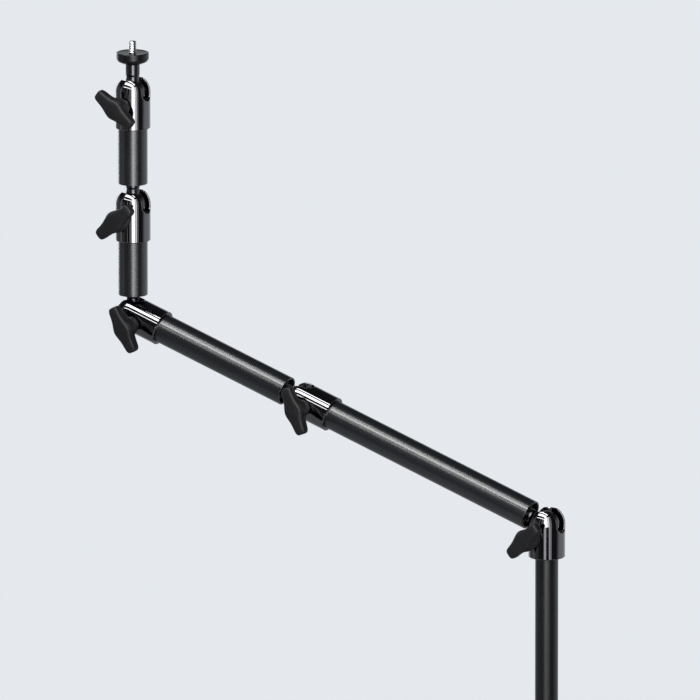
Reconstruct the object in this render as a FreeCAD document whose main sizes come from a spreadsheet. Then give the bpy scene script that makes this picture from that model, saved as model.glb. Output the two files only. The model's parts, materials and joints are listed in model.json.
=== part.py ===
"""Compact C stand that carries a ball-jointed camera arm.

Frame: millimetres, +Z up, origin on the floor on the column's axis. The arm leaves the column
towards -X and lies in the XZ plane. The locking knobs face -Y, two of them a little to one side.

The arm is one joint unit repeated five times, numbered from the camera end (1) to the column (5).
A unit is a domed socket on the top of a tube, a ball on a stud in the foot of the next tube up,
a seat under the ball, and a wing knob whose screw pushes the seat against the ball.
"""
import FreeCAD, Part
import math
import os
import Sketcher

DIMENSIONS = [
    # floor stand
    ("column_radius", 12.5), ("column_wall", 1.75), ("column_foot", 30.0), ("column_top", 500.0),
    ("hub_radius", 19.0), ("hub_height", 24.0), ("hub_pitch", 26.0), ("hub_first", 38.0),
    ("hub_fit", 0.05), ("hub_play", 0.08), ("washer_height", 1.4), ("washer_gap", 0.3),
    ("ring_radius", 17.5), ("ring_height", 7.5), ("leg_radius", 10.0), ("leg_wall", 2.0),
    ("leg_reach", 330.0), ("leg_level", 11.5), ("leg_shoulder", 40.0), ("leg_step", 9.0),
    ("leg_bend", 28.0), ("leg_slope", 55.0), ("foot_radius", 12.5), ("foot_length", 44.0),
    ("foot_depth", 38.0), ("foot_end", 6.0), ("foot_fit", 0.05),
    # column collar and the sliding pole
    ("collar_radius", 19.0), ("collar_height", 40.0), ("collar_cap", 5.0), ("collar_edge", 2.0),
    ("collar_screw_drop", 18.0), ("bush_length", 34.0), ("bush_lip", 2.5),
    ("pole_radius", 9.75), ("pole_wall", 1.5), ("pole_length", 450.0), ("pole_play", 0.05),
    ("guide_height", 20.0), ("guide_play", 0.1),
    # arm layout
    ("arm_slope", 18.7), ("ball_5_height", 665.0), ("reach_4", 250.0), ("reach_3", 175.0),
    ("reach_2", 94.5), ("reach_1", 97.0),
    # ball joint
    ("ball_radius", 10.8), ("ball_gap", 0.3), ("stud_radius", 6.0), ("spigot_radius", 3.0),
    ("spigot_play", 0.05), ("spigot_depth", 3.7), ("socket_radius", 15.0),
    ("socket_5_radius", 15.5), ("socket_length", 31.0), ("socket_5_length", 28.5),
    ("socket_mouth", 9.5), ("socket_edge", 0.6), ("notch_half", 6.4), ("notch_edge", 0.8),
    ("tube_seat", 17.5), ("skirt_fit", 0.05), ("seat_radius", 10.9), ("seat_top", 6.0),
    ("seat_foot", 17.0),
    # wing knob
    ("screw_drop", 10.0), ("screw_radius", 3.0), ("screw_play", 0.3), ("screw_tip", 9.3),
    ("knob_start", 16.2), ("hub_foot_radius", 7.0), ("hub_top_radius", 9.5),
    ("knob_neck", 8.5), ("wing_half", 21.0), ("wing_chord", 6.0), ("wing_waist", 5.0),
    ("wing_height", 10.0), ("wing_corner", 3.0), ("knob_bore", 9.0),
    # tubes and their plugs
    ("tube_radius", 12.5), ("tube_wall", 1.5), ("tube_start", 16.5), ("tube_1_start", 18.0),
    ("tube_edge", 0.3), ("plug_recess", 4.0),
    ("plug_length", 16.0), ("plug_fit", 0.05), ("plug_groove", 0.8),
    ("stud_tail", 4.0), ("stud_tail_length", 12.0), ("stud_groove", 0.5), ("stud_rib", 1.1),
    # camera head
    ("head_foot", 24.0), ("head_rim", 26.4), ("head_top", 34.0), ("head_radius", 13.7),
    ("head_edge", 1.3), ("camera_screw_radius", 3.175), ("camera_screw_height", 9.8),
    ("camera_screw_root", 4.0), ("camera_screw_edge", 0.6), ("camera_shank_step", 0.3),
]

# how far each wing knob is turned on its screw, and how far the screw holes of the two sockets
# that hold a bend are swung about the socket's axis, in degrees
TURNS = {1: -37.0, 2: 41.0, 3: -66.0, 4: -68.0, 5: 43.0}
SWINGS = {1: 0.0, 2: 0.0, 3: -9.0, 4: 0.0, 5: -10.0}

doc = FreeCAD.newDocument("c_stand")
sheet = doc.addObject("Spreadsheet::Sheet", "dims")
for row, (alias, value) in enumerate(DIMENSIONS, start=1):
    sheet.set("A%d" % row, alias)
    sheet.set("B%d" % row, str(value))
    sheet.setAlias("B%d" % row, alias)
doc.recompute()

SIZE = {alias: float(value) for alias, value in DIMENSIONS}
parts = []


def value_of(expression):
    """The number that an expression on the sheet stands for."""
    return float(sheet.evalExpression(expression))


def plane(body, role):
    return [item for item in body.Origin.OriginFeatures if item.Role == role][0]


def new_sketch(body, name, role, lift=None, swing=0.0):
    """A sketch on a plane of the body, swung about the plane's Y and lifted along its normal."""
    sketch = body.newObject("Sketcher::SketchObject", name)
    sketch.AttachmentSupport = (plane(body, role), [""])
    sketch.MapMode = "FlatFace"
    turn = FreeCAD.Rotation(FreeCAD.Vector(0, 1, 0), swing)
    sketch.AttachmentOffset = FreeCAD.Placement(FreeCAD.Vector(0, 0, 0), turn)
    if lift is not None:
        sketch.setExpression("AttachmentOffset.Base.x", "(%s) * sin(%g deg)" % (lift, swing))
        sketch.setExpression("AttachmentOffset.Base.z", "(%s) * cos(%g deg)" % (lift, swing))
    return sketch


def pin_point(sketch, geometry, end, x, y, only=""):
    """Hold a point at (x, y), each an expression, or at one of the two."""
    for letter, kind, axis, expression in (("x", "DistanceX", -2, x), ("y", "DistanceY", -1, y)):
        if only and letter != only:
            continue
        number = value_of(expression)
        if abs(number) < 1e-9:
            sketch.addConstraint(Sketcher.Constraint("PointOnObject", geometry, end, axis))
            continue
        index = sketch.addConstraint(Sketcher.Constraint(kind, -1, 1, geometry, end, number))
        sketch.setExpression("Constraints[%d]" % index, expression)


def draw_outline(sketch, points, arcs=()):
    """A closed outline. A point is (x, y) or (x, y, "x" or "y" for the one that is held).

    arcs gives (segment, radius, clockwise) for each segment that is an arc about the origin.
    """
    spots = [(value_of(p[0]), value_of(p[1])) for p in points]
    bent = {segment: (radius, clockwise) for segment, radius, clockwise in arcs}
    count = len(points)
    ends = []
    for i in range(count):
        a, b = spots[i], spots[(i + 1) % count]
        if i in bent:
            radius, clockwise = bent[i]
            circle = Part.Circle(FreeCAD.Vector(0, 0, 0), FreeCAD.Vector(0, 0, 1), value_of(radius))
            first, last = math.atan2(a[1], a[0]), math.atan2(b[1], b[0])
            if clockwise:
                first, last = last, first
            if last < first:
                last += 2 * math.pi
            index = sketch.addGeometry(Part.ArcOfCircle(circle, first, last), False)
            ends.append((index, 2, 1) if clockwise else (index, 1, 2))
        else:
            line = Part.LineSegment(FreeCAD.Vector(a[0], a[1], 0), FreeCAD.Vector(b[0], b[1], 0))
            ends.append((sketch.addGeometry(line, False), 1, 2))
    for i in range(count):
        here, after = ends[i], ends[(i + 1) % count]
        sketch.addConstraint(Sketcher.Constraint("Coincident", here[0], here[2], after[0], after[1]))
    for i, (radius, _) in bent.items():
        index = ends[i][0]
        sketch.addConstraint(Sketcher.Constraint("Coincident", index, 3, -1, 1))
        held = sketch.addConstraint(Sketcher.Constraint("Radius", index, value_of(radius)))
        sketch.setExpression("Constraints[%d]" % held, radius)
    for i, point in enumerate(points):
        pin_point(sketch, ends[i][0], ends[i][1], point[0], point[1], *point[2:])


def draw_circle(sketch, x, y, radius):
    centre = FreeCAD.Vector(value_of(x), value_of(y), 0)
    circle = Part.Circle(centre, FreeCAD.Vector(0, 0, 1), value_of(radius))
    index = sketch.addGeometry(circle, False)
    pin_point(sketch, index, 3, x, y)
    held = sketch.addConstraint(Sketcher.Constraint("Radius", index, value_of(radius)))
    sketch.setExpression("Constraints[%d]" % held, radius)


def turned(name, points, arcs=()):
    """A body of revolution about its own Z axis. Points are (radius, height)."""
    body = doc.addObject("PartDesign::Body", name)
    sketch = new_sketch(body, name + "_outline", "XZ_Plane")
    draw_outline(sketch, points, arcs)
    turn = body.newObject("PartDesign::Revolution", name + "_turn")
    turn.Profile = sketch
    turn.ReferenceAxis = (sketch, ["V_Axis"])
    turn.Angle = 360.0
    doc.recompute()
    return body


def cut_pocket(body, sketch, length, symmetric=False, reverse=False):
    """A pocket, which has to take material away."""
    before = body.Shape.Volume
    pocket = body.newObject("PartDesign::Pocket", sketch.Name + "_cut")
    pocket.Profile = sketch
    pocket.setExpression("Length", length)
    pocket.Midplane = symmetric
    pocket.Reversed = reverse
    doc.recompute()
    if not body.Shape.Volume < before - 0.1:
        raise RuntimeError("%s cuts nothing" % pocket.Name)


def finish_part(item, label, placement):
    """Name a sub-part, put it in its place and list it for export."""
    item.Label = label
    item.Placement = placement
    parts.append(item)


def frame_at(spot, direction_angle=0.0, turn=0.0):
    """A frame at spot whose Z leans by direction_angle about Y, turned about its own Z."""
    lean = FreeCAD.Rotation(FreeCAD.Vector(0, 1, 0), direction_angle)
    spin = FreeCAD.Rotation(FreeCAD.Vector(0, 0, 1), turn)
    return FreeCAD.Placement(spot, lean.multiply(spin))


# ---------------------------------------------------------------- layout of the arm

ARM_LEAN = SIZE["arm_slope"] - 90.0
ARM_WAY = FreeCAD.Vector(-math.cos(math.radians(SIZE["arm_slope"])), 0,
                         math.sin(math.radians(SIZE["arm_slope"])))
UP = FreeCAD.Vector(0, 0, 1)
BALL = {5: FreeCAD.Vector(0, 0, SIZE["ball_5_height"])}
BALL[4] = BALL[5] + ARM_WAY * SIZE["reach_4"]
BALL[3] = BALL[4] + ARM_WAY * SIZE["reach_3"]
BALL[2] = BALL[3] + UP * SIZE["reach_2"]
BALL[1] = BALL[2] + UP * SIZE["reach_1"]
SOCKET_LEAN = {1: 0.0, 2: 0.0, 3: ARM_LEAN, 4: ARM_LEAN, 5: 0.0}
STUD_LEAN = {1: 0.0, 2: 0.0, 3: 0.0, 4: ARM_LEAN, 5: ARM_LEAN}
TUBE_REACH = {1: "dims.reach_1", 2: "dims.reach_2", 3: "dims.reach_3", 4: "dims.reach_4"}


def tube_foot(k):
    """How far above its ball tube k starts. The camera end's tube starts a little higher."""
    return "dims.tube_1_start" if k == 1 else "dims.tube_start"


# ---------------------------------------------------------------- one ball joint

def round_notch(body, radius):
    """Round the outer edges of a socket's notches, where the outside meets their walls."""
    outside, half = value_of(radius), SIZE["notch_half"]
    notched = body.Tip
    names = []
    for number, edge in enumerate(notched.Shape.Edges, start=1):
        middle = edge.valueAt((edge.FirstParameter + edge.LastParameter) / 2)
        reach = middle.Length if middle.z > 0 else math.hypot(middle.x, middle.y)
        beside = abs(middle.y) < half + 0.01 and middle.z > -half - 0.01
        if beside and abs(reach - outside) < 0.01:
            names.append("Edge%d" % number)
    fillet = body.newObject("PartDesign::Fillet", body.Name + "_notch_round")
    fillet.Base = (notched, names)
    fillet.setExpression("Radius", "dims.notch_edge")
    doc.recompute()


def make_socket(k):
    """A domed cylinder, open at the top for the stud, with two opposite notches for it."""
    name = "socket_%d" % k
    radius = "dims.socket_5_radius" if k == 5 else "dims.socket_radius"
    length = "dims.socket_5_length" if k == 5 else "dims.socket_length"
    held = "dims.pole_radius" if k == 5 else "dims.tube_radius"
    bore = held + " + dims.skirt_fit"
    cavity = "dims.ball_radius + dims.ball_gap"
    mouth = "dims.socket_mouth"
    lip = mouth + " + dims.socket_edge"
    body = turned(name, [
        (bore, "-" + length),
        (radius + " - dims.socket_edge", "-" + length),
        (radius, "dims.socket_edge - " + length),
        (radius, "0", "y"),
        (lip, "sqrt((%s)^2 - (%s)^2)" % (radius, lip), "x"),
        (mouth, "sqrt((%s)^2 - (%s)^2) - dims.socket_edge" % (radius, lip)),
        (mouth, "sqrt((%s)^2 - (%s)^2)" % (cavity, mouth), "x"),
        (cavity, "0", "y"),
        (cavity, "-dims.tube_seat"),
        (bore, "-dims.tube_seat"),
    ], [(3, radius, False), (6, cavity, True)])
    notch = new_sketch(body, name + "_notch", "YZ_Plane")
    draw_outline(notch, [
        ("-dims.notch_half", "dims.socket_radius + 2"),
        ("-dims.notch_half", "0", "y"),
        ("dims.notch_half", "0", "y"),
        ("dims.notch_half", "dims.socket_radius + 2"),
    ], [(1, "dims.notch_half", False)])
    cut_pocket(body, notch, "4 * dims.socket_radius", symmetric=True)
    round_notch(body, radius)
    hole = new_sketch(body, name + "_thread", "XZ_Plane", swing=SWINGS[k])
    draw_circle(hole, "0", "-dims.screw_drop", "dims.screw_radius + dims.screw_play / 3")
    cut_pocket(body, hole, "2 * dims.socket_radius", reverse=True)
    finish_part(body, name, frame_at(BALL[k], SOCKET_LEAN[k]))


def make_seat(k):
    """The cup under the ball, with a side recess that the knob's screw pushes in."""
    name = "seat_%d" % k
    cup = "dims.ball_radius + dims.ball_gap"
    body = turned(name, [
        ("0", "-dims.seat_foot"),
        ("dims.seat_radius", "-dims.seat_foot"),
        ("dims.seat_radius", "-dims.seat_top"),
        ("sqrt((%s)^2 - dims.seat_top^2)" % cup, "-dims.seat_top", "y"),
        ("0", "-(%s)" % cup, "x"),
    ], [(3, cup, True)])
    hole = new_sketch(body, name + "_recess", "XZ_Plane", "dims.screw_tip - dims.screw_play",
                      SWINGS[k])
    draw_circle(hole, "0", "-dims.screw_drop", "dims.screw_radius + dims.screw_play")
    cut_pocket(body, hole, "dims.socket_radius", reverse=True)
    finish_part(body, name, frame_at(BALL[k], SOCKET_LEAN[k]))


def make_ball(k):
    """A ball with a flat and a bore, where the stud stands."""
    flat = "sqrt(dims.ball_radius^2 - dims.stud_radius^2)"
    bore = "dims.spigot_radius + dims.spigot_play"
    body = turned("ball_%d" % k, [
        ("0", "-dims.ball_radius", "x"),
        ("dims.stud_radius", flat, "x"),
        (bore, flat),
        (bore, "-dims.spigot_depth - 0.3"),
        ("0", "-dims.spigot_depth - 0.3"),
    ], [(0, "dims.ball_radius", False)])
    finish_part(body, "ball_%d" % k, frame_at(BALL[k], STUD_LEAN[k]))


def make_stud(k):
    """The neck of the ball, with a spigot in the ball and a tail in the piece above."""
    foot = "sqrt(dims.ball_radius^2 - dims.stud_radius^2) + dims.spigot_play"
    shoulder = "dims.head_foot" if k == 1 else tube_foot(k - 1) + " + dims.plug_recess"
    tail = "1.2 + dims.head_foot" if k == 1 else shoulder + " + dims.stud_tail_length"
    points = [("0", "-dims.spigot_depth"), ("dims.spigot_radius", "-dims.spigot_depth"),
              ("dims.spigot_radius", foot), ("dims.stud_radius", foot)]
    if k != 1:
        for rib in (3, 2, 1):
            low = "%s - %d * 2 * dims.stud_rib" % (shoulder, rib)
            points += [("dims.stud_radius", low),
                       ("dims.stud_radius - dims.stud_groove", low + " + dims.stud_rib / 3"),
                       ("dims.stud_radius - dims.stud_groove", low + " + dims.stud_rib"),
                       ("dims.stud_radius", low + " + dims.stud_rib * 4 / 3")]
    points += [("dims.stud_radius", shoulder), ("dims.stud_tail", shoulder),
               ("dims.stud_tail", tail), ("0", tail)]
    body = turned("stud_%d" % k, points)
    finish_part(body, "stud_%d" % k, frame_at(BALL[k], STUD_LEAN[k]))


def make_knob(name, placement):
    """A wing knob on its own Z axis: a flared hub, a crossbar and a blind bore for its screw."""
    top = "dims.knob_start + dims.knob_neck"
    body = turned(name, [
        ("dims.screw_radius", "dims.knob_start"),
        ("dims.hub_foot_radius", "dims.knob_start"),
        ("dims.hub_top_radius", top),
        ("dims.hub_top_radius", top + " + dims.wing_height - dims.wing_corner"),
        ("dims.hub_top_radius - dims.wing_corner", top + " + dims.wing_height"),
        ("0", top + " + dims.wing_height"),
        ("0", "dims.knob_start + dims.knob_bore"),
        ("dims.screw_radius", "dims.knob_start + dims.knob_bore"),
    ])
    wings = new_sketch(body, name + "_wings", "XY_Plane", top)
    half, chord = "dims.wing_half", "dims.wing_chord"
    waist = "dims.wing_waist"
    ring = [(half, chord + " - dims.wing_corner"), (half + " - dims.wing_corner", chord),
            (waist, "dims.wing_chord + 1"), ("-" + waist, "dims.wing_chord + 1"),
            ("dims.wing_corner - " + half, chord), ("-" + half, chord + " - dims.wing_corner")]
    mirrored = [(x, "-(%s)" % y) for x, y in reversed(ring)]
    draw_outline(wings, ring + mirrored)
    pad = body.newObject("PartDesign::Pad", name + "_bar")
    pad.Profile = wings
    pad.setExpression("Length", "dims.wing_height - 1")
    doc.recompute()
    bore = new_sketch(body, name + "_bore", "XY_Plane", "dims.knob_start")
    draw_circle(bore, "0", "0", "dims.screw_radius")
    cut_pocket(body, bore, "dims.knob_bore", reverse=True)
    finish_part(body, name, placement)


def make_knob_screw(name, tip, placement):
    """The knob's screw, from inside its hub to a flat tip."""
    body = turned(name, [
        ("0", tip),
        ("dims.screw_radius - dims.socket_edge", tip),
        ("dims.screw_radius", tip + " + dims.socket_edge"),
        ("dims.screw_radius", "dims.knob_start + dims.knob_bore"),
        ("0", "dims.knob_start + dims.knob_bore"),
    ])
    finish_part(body, name, placement)


def knob_frame(spot, lean, drop, turn, swing=0.0):
    """The frame of a knob, drop below spot along the leaning axis, on -Y swung about that axis."""
    base = frame_at(spot, lean)
    swung = FreeCAD.Rotation(base.Rotation.multVec(UP), swing)
    face = FreeCAD.Rotation(FreeCAD.Vector(1, 0, 0), 90)
    spin = FreeCAD.Rotation(UP, turn)
    way = swung.multiply(face).multiply(spin)
    return FreeCAD.Placement(base.multVec(FreeCAD.Vector(0, 0, -drop)), way)


def make_joint(k):
    make_socket(k)
    make_seat(k)
    make_ball(k)
    make_stud(k)
    placement = knob_frame(BALL[k], SOCKET_LEAN[k], SIZE["screw_drop"], TURNS[k], SWINGS[k])
    make_knob("knob_%d" % k, placement)
    make_knob_screw("knob_screw_%d" % k, "dims.screw_tip", placement)


# ---------------------------------------------------------------- tubes and head

def make_tube(k):
    """Tube k hangs from socket k and ends above ball k + 1, with a plug set back in its foot."""
    place = frame_at(BALL[k + 1], STUD_LEAN[k + 1])
    inside = "dims.tube_radius - dims.tube_wall"
    top = TUBE_REACH[k] + " - dims.tube_seat"
    start = tube_foot(k)
    edge = "dims.tube_edge"
    body = turned("tube_%d" % k, [
        (inside + " + " + edge, start),
        ("dims.tube_radius - " + edge, start),
        ("dims.tube_radius", start + " + " + edge),
        ("dims.tube_radius", top),
        (inside, top),
        (inside, start + " + " + edge),
    ])
    finish_part(body, "tube_%d" % k, place)
    foot = start + " + dims.plug_recess"
    skin = inside + " - dims.plug_fit"
    plug = turned("plug_%d" % k, [
        ("dims.stud_tail + dims.plug_fit", foot),
        (skin + " - dims.plug_groove", foot),
        (skin, foot + " + dims.plug_groove"),
        (skin, foot + " + dims.plug_length"),
        ("0", foot + " + dims.plug_length"),
        ("0", foot + " + dims.stud_tail_length + 0.3"),
        ("dims.stud_tail + dims.plug_fit", foot + " + dims.stud_tail_length + 0.3"),
    ])
    finish_part(plug, "plug_%d" % k, place)


def make_head():
    """The camera disc with its 1/4 inch screw."""
    place = frame_at(BALL[1], STUD_LEAN[1])
    root = "dims.head_top - dims.camera_screw_root"
    shank = "dims.camera_screw_radius - dims.camera_shank_step"
    disc = turned("head_disc", [
        ("dims.stud_tail + dims.plug_fit", "dims.head_foot"),
        ("dims.stud_radius + 1", "dims.head_foot"),
        ("dims.head_radius - dims.head_edge", "dims.head_rim"),
        ("dims.head_radius", "dims.head_rim + dims.head_edge"),
        ("dims.head_radius", "dims.head_top - dims.head_edge"),
        ("dims.head_radius - dims.head_edge", "dims.head_top"),
        (shank + " + dims.plug_fit", "dims.head_top"),
        (shank + " + dims.plug_fit", root),
        ("0", root),
        ("0", "dims.head_foot + 1.5"),
        ("dims.stud_tail + dims.plug_fit", "dims.head_foot + 1.5"),
    ])
    finish_part(disc, "head_disc", place)
    tip = "dims.head_top + dims.camera_screw_height"
    screw = turned("camera_screw", [
        ("0", root),
        (shank, root),
        (shank, "dims.head_top"),
        ("dims.camera_screw_radius", "dims.head_top"),
        ("dims.camera_screw_radius", tip + " - dims.camera_screw_edge"),
        ("dims.camera_screw_radius - dims.camera_screw_edge", tip),
        ("0", tip),
    ])
    finish_part(screw, "camera_screw", place)


# ---------------------------------------------------------------- column, collar and pole

def make_column():
    """The fixed column, its end cap, its two stop rings and the washers between the hubs."""
    upright = frame_at(FreeCAD.Vector(0, 0, 0))
    inside = "dims.column_radius - dims.column_wall"
    column = turned("column_tube", [
        (inside, "dims.column_foot"), ("dims.column_radius", "dims.column_foot"),
        ("dims.column_radius", "dims.column_top"), (inside, "dims.column_top"),
    ])
    hole = new_sketch(column, "column_hole", "XZ_Plane")
    draw_circle(hole, "0", "dims.column_top - dims.collar_screw_drop",
                "dims.screw_radius + dims.screw_play")
    cut_pocket(column, hole, "2 * dims.column_radius", reverse=True)
    finish_part(column, "column", upright)
    skin = inside + " - dims.hub_fit"
    cap = turned("column_cap", [
        ("0", "dims.column_foot - 4"),
        ("dims.column_radius - 1", "dims.column_foot - 4"),
        ("dims.column_radius", "dims.column_foot - 3"),
        ("dims.column_radius", "dims.column_foot"),
        (skin, "dims.column_foot"),
        (skin, "dims.column_foot + 20"),
        ("0", "dims.column_foot + 20"),
    ])
    finish_part(cap, "column_end_cap", upright)
    hubs_top = "(dims.hub_first + 2 * dims.hub_pitch + dims.hub_height)"
    lower = ring_part("ring_lower", "dims.ring_radius", "dims.hub_first - 0.5 - dims.ring_height",
                      "dims.ring_height")
    upper = ring_part("ring_upper", "dims.ring_radius", hubs_top + " + 0.5", "dims.ring_height")
    join_part("stop_rings", [lower, upper], upright)
    first = ring_part("washer_lower", "dims.ring_radius",
                      "dims.hub_first + dims.hub_height + dims.washer_gap", "dims.washer_height")
    second = ring_part("washer_upper", "dims.ring_radius",
                       "dims.hub_first + dims.hub_pitch + dims.hub_height + dims.washer_gap",
                       "dims.washer_height")
    join_part("hub_washers", [first, second], upright)


def ring_part(name, radius, foot, height):
    """A plain ring on the column with broken outer edges."""
    bore = "dims.column_radius + dims.hub_fit"
    edge = "dims.washer_gap"
    return turned(name, [
        (bore, foot), (radius + " - " + edge, foot), (radius, "%s + %s" % (foot, edge)),
        (radius, "%s + %s - %s" % (foot, height, edge)),
        (radius + " - " + edge, "%s + %s" % (foot, height)), (bore, "%s + %s" % (foot, height)),
    ])


def join_part(label, solids, placement):
    """Several separate solids kept as one sub-part."""
    group = doc.addObject("Part::Compound", label)
    group.Links = solids
    doc.recompute()
    finish_part(group, label, placement)


def make_collar():
    """The clamp on top of the column, the bush that guides the pole, and the knob."""
    upright = frame_at(FreeCAD.Vector(0, 0, 0))
    top = "dims.column_top + dims.collar_cap"
    foot = top + " - dims.collar_height"
    collar = turned("collar_ring", [
        ("dims.column_radius + dims.hub_fit", foot),
        ("dims.collar_radius - dims.collar_edge", foot),
        ("dims.collar_radius", foot + " + dims.collar_edge"),
        ("dims.collar_radius", top + " - dims.collar_edge"),
        ("dims.collar_radius - dims.collar_edge", top),
        ("dims.pole_radius + 0.6", top),
        ("dims.pole_radius + 0.6", "dims.column_top + dims.bush_lip"),
        ("dims.column_radius + dims.hub_fit", "dims.column_top + dims.bush_lip"),
    ])
    hole = new_sketch(collar, "collar_thread", "XZ_Plane")
    screw_height = "dims.column_top - dims.collar_screw_drop"
    draw_circle(hole, "0", screw_height, "dims.screw_radius + dims.screw_play / 3")
    cut_pocket(collar, hole, "2 * dims.collar_radius", reverse=True)
    finish_part(collar, "collar", upright)
    inside = "dims.pole_radius + dims.pole_play"
    skin = "dims.column_radius - dims.column_wall - dims.hub_fit"
    bush = turned("bush_sleeve", [
        (inside, "dims.column_top - dims.bush_length"), (skin, "dims.column_top - dims.bush_length"),
        (skin, "dims.column_top"), ("dims.column_radius", "dims.column_top"),
        ("dims.column_radius", "dims.column_top + dims.bush_lip"),
        (inside, "dims.column_top + dims.bush_lip"),
    ])
    slot = new_sketch(bush, "bush_hole", "XZ_Plane")
    draw_circle(slot, "0", screw_height, "dims.screw_radius + dims.screw_play")
    cut_pocket(bush, slot, "2 * dims.column_radius", reverse=True)
    finish_part(bush, "collar_bush", upright)
    spot = FreeCAD.Vector(0, 0, SIZE["column_top"])
    placement = knob_frame(spot, 0.0, SIZE["collar_screw_drop"], 25.0)
    outward = placement.multiply(FreeCAD.Placement(FreeCAD.Vector(0, 0, 4), FreeCAD.Rotation()))
    make_knob("collar_knob", outward)
    make_knob_screw("collar_knob_screw", "dims.pole_radius + 0.3 - 4", outward)


def make_pole():
    """The sliding pole and the guide ring at its foot."""
    upright = frame_at(BALL[5])
    inside = "dims.pole_radius - dims.pole_wall"
    foot = "-dims.tube_seat - dims.pole_length"
    pole = turned("pole_tube", [
        (inside, foot), ("dims.pole_radius", foot),
        ("dims.pole_radius", "-dims.tube_seat"), (inside, "-dims.tube_seat"),
    ])
    finish_part(pole, "pole", upright)
    skin = "dims.column_radius - dims.column_wall - dims.guide_play"
    plug = inside + " - dims.hub_fit"
    guide = turned("guide_ring", [
        ("0", foot + " - 4"), (skin, foot + " - 4"), (skin, foot), (plug, foot),
        (plug, foot + " + dims.guide_height"), ("0", foot + " + dims.guide_height"),
    ])
    finish_part(guide, "pole_guide", upright)


# ---------------------------------------------------------------- legs

def make_leg(letter, level, heading, fit):
    """One leg: a hub ring on the column, a stepped tube welded to it and a rubber foot."""
    turn = frame_at(FreeCAD.Vector(0, 0, 0), 0.0, heading)
    foot = "dims.hub_first + %d * dims.hub_pitch" % level
    bore = "dims.column_radius + " + fit
    hub = turned("hub_" + letter, [
        (bore, foot), ("dims.hub_radius - 1", foot), ("dims.hub_radius", foot + " + 1"),
        ("dims.hub_radius", foot + " + dims.hub_height - 1"),
        ("dims.hub_radius - 1", foot + " + dims.hub_height"), (bore, foot + " + dims.hub_height"),
    ])
    finish_part(hub, "leg_%s_hub" % letter, turn)
    make_leg_tube(letter, level, foot + " + dims.hub_height / 2", turn)
    make_leg_foot(letter, turn)


def leg_path(sketch, level, height):
    """The tube's centre line: out, down at a slope, and out along the floor, with two bends."""
    slope, bend = math.radians(SIZE["leg_slope"]), SIZE["leg_bend"]
    high, low = value_of(height), SIZE["leg_level"]
    start = SIZE["hub_radius"] - 5
    shoulder = SIZE["leg_shoulder"] + level * SIZE["leg_step"]
    over = bend * math.sin(slope)
    down = bend * (1 - math.cos(slope))
    run = (high - low - 2 * down) / math.tan(slope)
    second = shoulder + over + run
    spots = [(start, high), (shoulder, high), (shoulder + over, high - down),
             (second, low + down), (second + over, low), (SIZE["leg_reach"], low)]
    v = [FreeCAD.Vector(x, y, 0) for x, y in spots]
    z = FreeCAD.Vector(0, 0, 1)
    sketch.addGeometry(Part.LineSegment(v[0], v[1]), False)
    circle = Part.Circle(FreeCAD.Vector(shoulder, high - bend, 0), z, bend)
    sketch.addGeometry(Part.ArcOfCircle(circle, math.pi / 2 - slope, math.pi / 2), False)
    sketch.addGeometry(Part.LineSegment(v[2], v[3]), False)
    circle = Part.Circle(FreeCAD.Vector(second + over, low + bend, 0), z, bend)
    sketch.addGeometry(Part.ArcOfCircle(circle, 1.5 * math.pi - slope, 1.5 * math.pi), False)
    sketch.addGeometry(Part.LineSegment(v[4], v[5]), False)
    for first, end, second_line, begin in ((0, 2, 1, 2), (1, 1, 2, 1), (2, 2, 3, 1), (3, 2, 4, 1)):
        sketch.addConstraint(Sketcher.Constraint("Tangent", first, end, second_line, begin))
    sketch.addConstraint(Sketcher.Constraint("Horizontal", 0))
    sketch.addConstraint(Sketcher.Constraint("Horizontal", 4))
    for arc in (1, 3):
        held = sketch.addConstraint(Sketcher.Constraint("Radius", arc, bend))
        sketch.setExpression("Constraints[%d]" % held, "dims.leg_bend")
    pin_point(sketch, 0, 1, "dims.hub_radius - 5", height)
    pin_point(sketch, 0, 2, "dims.leg_shoulder + %d * dims.leg_step" % level, height, "x")
    pin_point(sketch, 4, 2, "dims.leg_reach", "dims.leg_level")
    held = sketch.addConstraint(Sketcher.Constraint("Angle", 2, -slope))
    sketch.setExpression("Constraints[%d]" % held, "-dims.leg_slope * 1 deg")


def make_leg_tube(letter, level, height, turn):
    body = doc.addObject("PartDesign::Body", "pipe_" + letter)
    path = new_sketch(body, "path_" + letter, "XZ_Plane")
    leg_path(path, level, height)
    ring = new_sketch(body, "section_" + letter, "YZ_Plane", "dims.hub_radius - 5")
    draw_circle(ring, "0", height, "dims.leg_radius")
    draw_circle(ring, "0", height, "dims.leg_radius - dims.leg_wall")
    doc.recompute()
    sweep = body.newObject("PartDesign::AdditivePipe", "sweep_" + letter)
    sweep.Profile = ring
    sweep.Spine = path
    doc.recompute()
    post = doc.addObject("Part::Cylinder", "saddle_" + letter)
    post.setExpression("Radius", "dims.hub_radius + dims.hub_fit")
    post.setExpression("Height", "2 * dims.leg_reach")
    cut = doc.addObject("Part::Cut", "leg_tube_" + letter)
    cut.Base, cut.Tool = body, post
    doc.recompute()
    finish_part(cut, "leg_%s_tube" % letter, turn)


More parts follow.
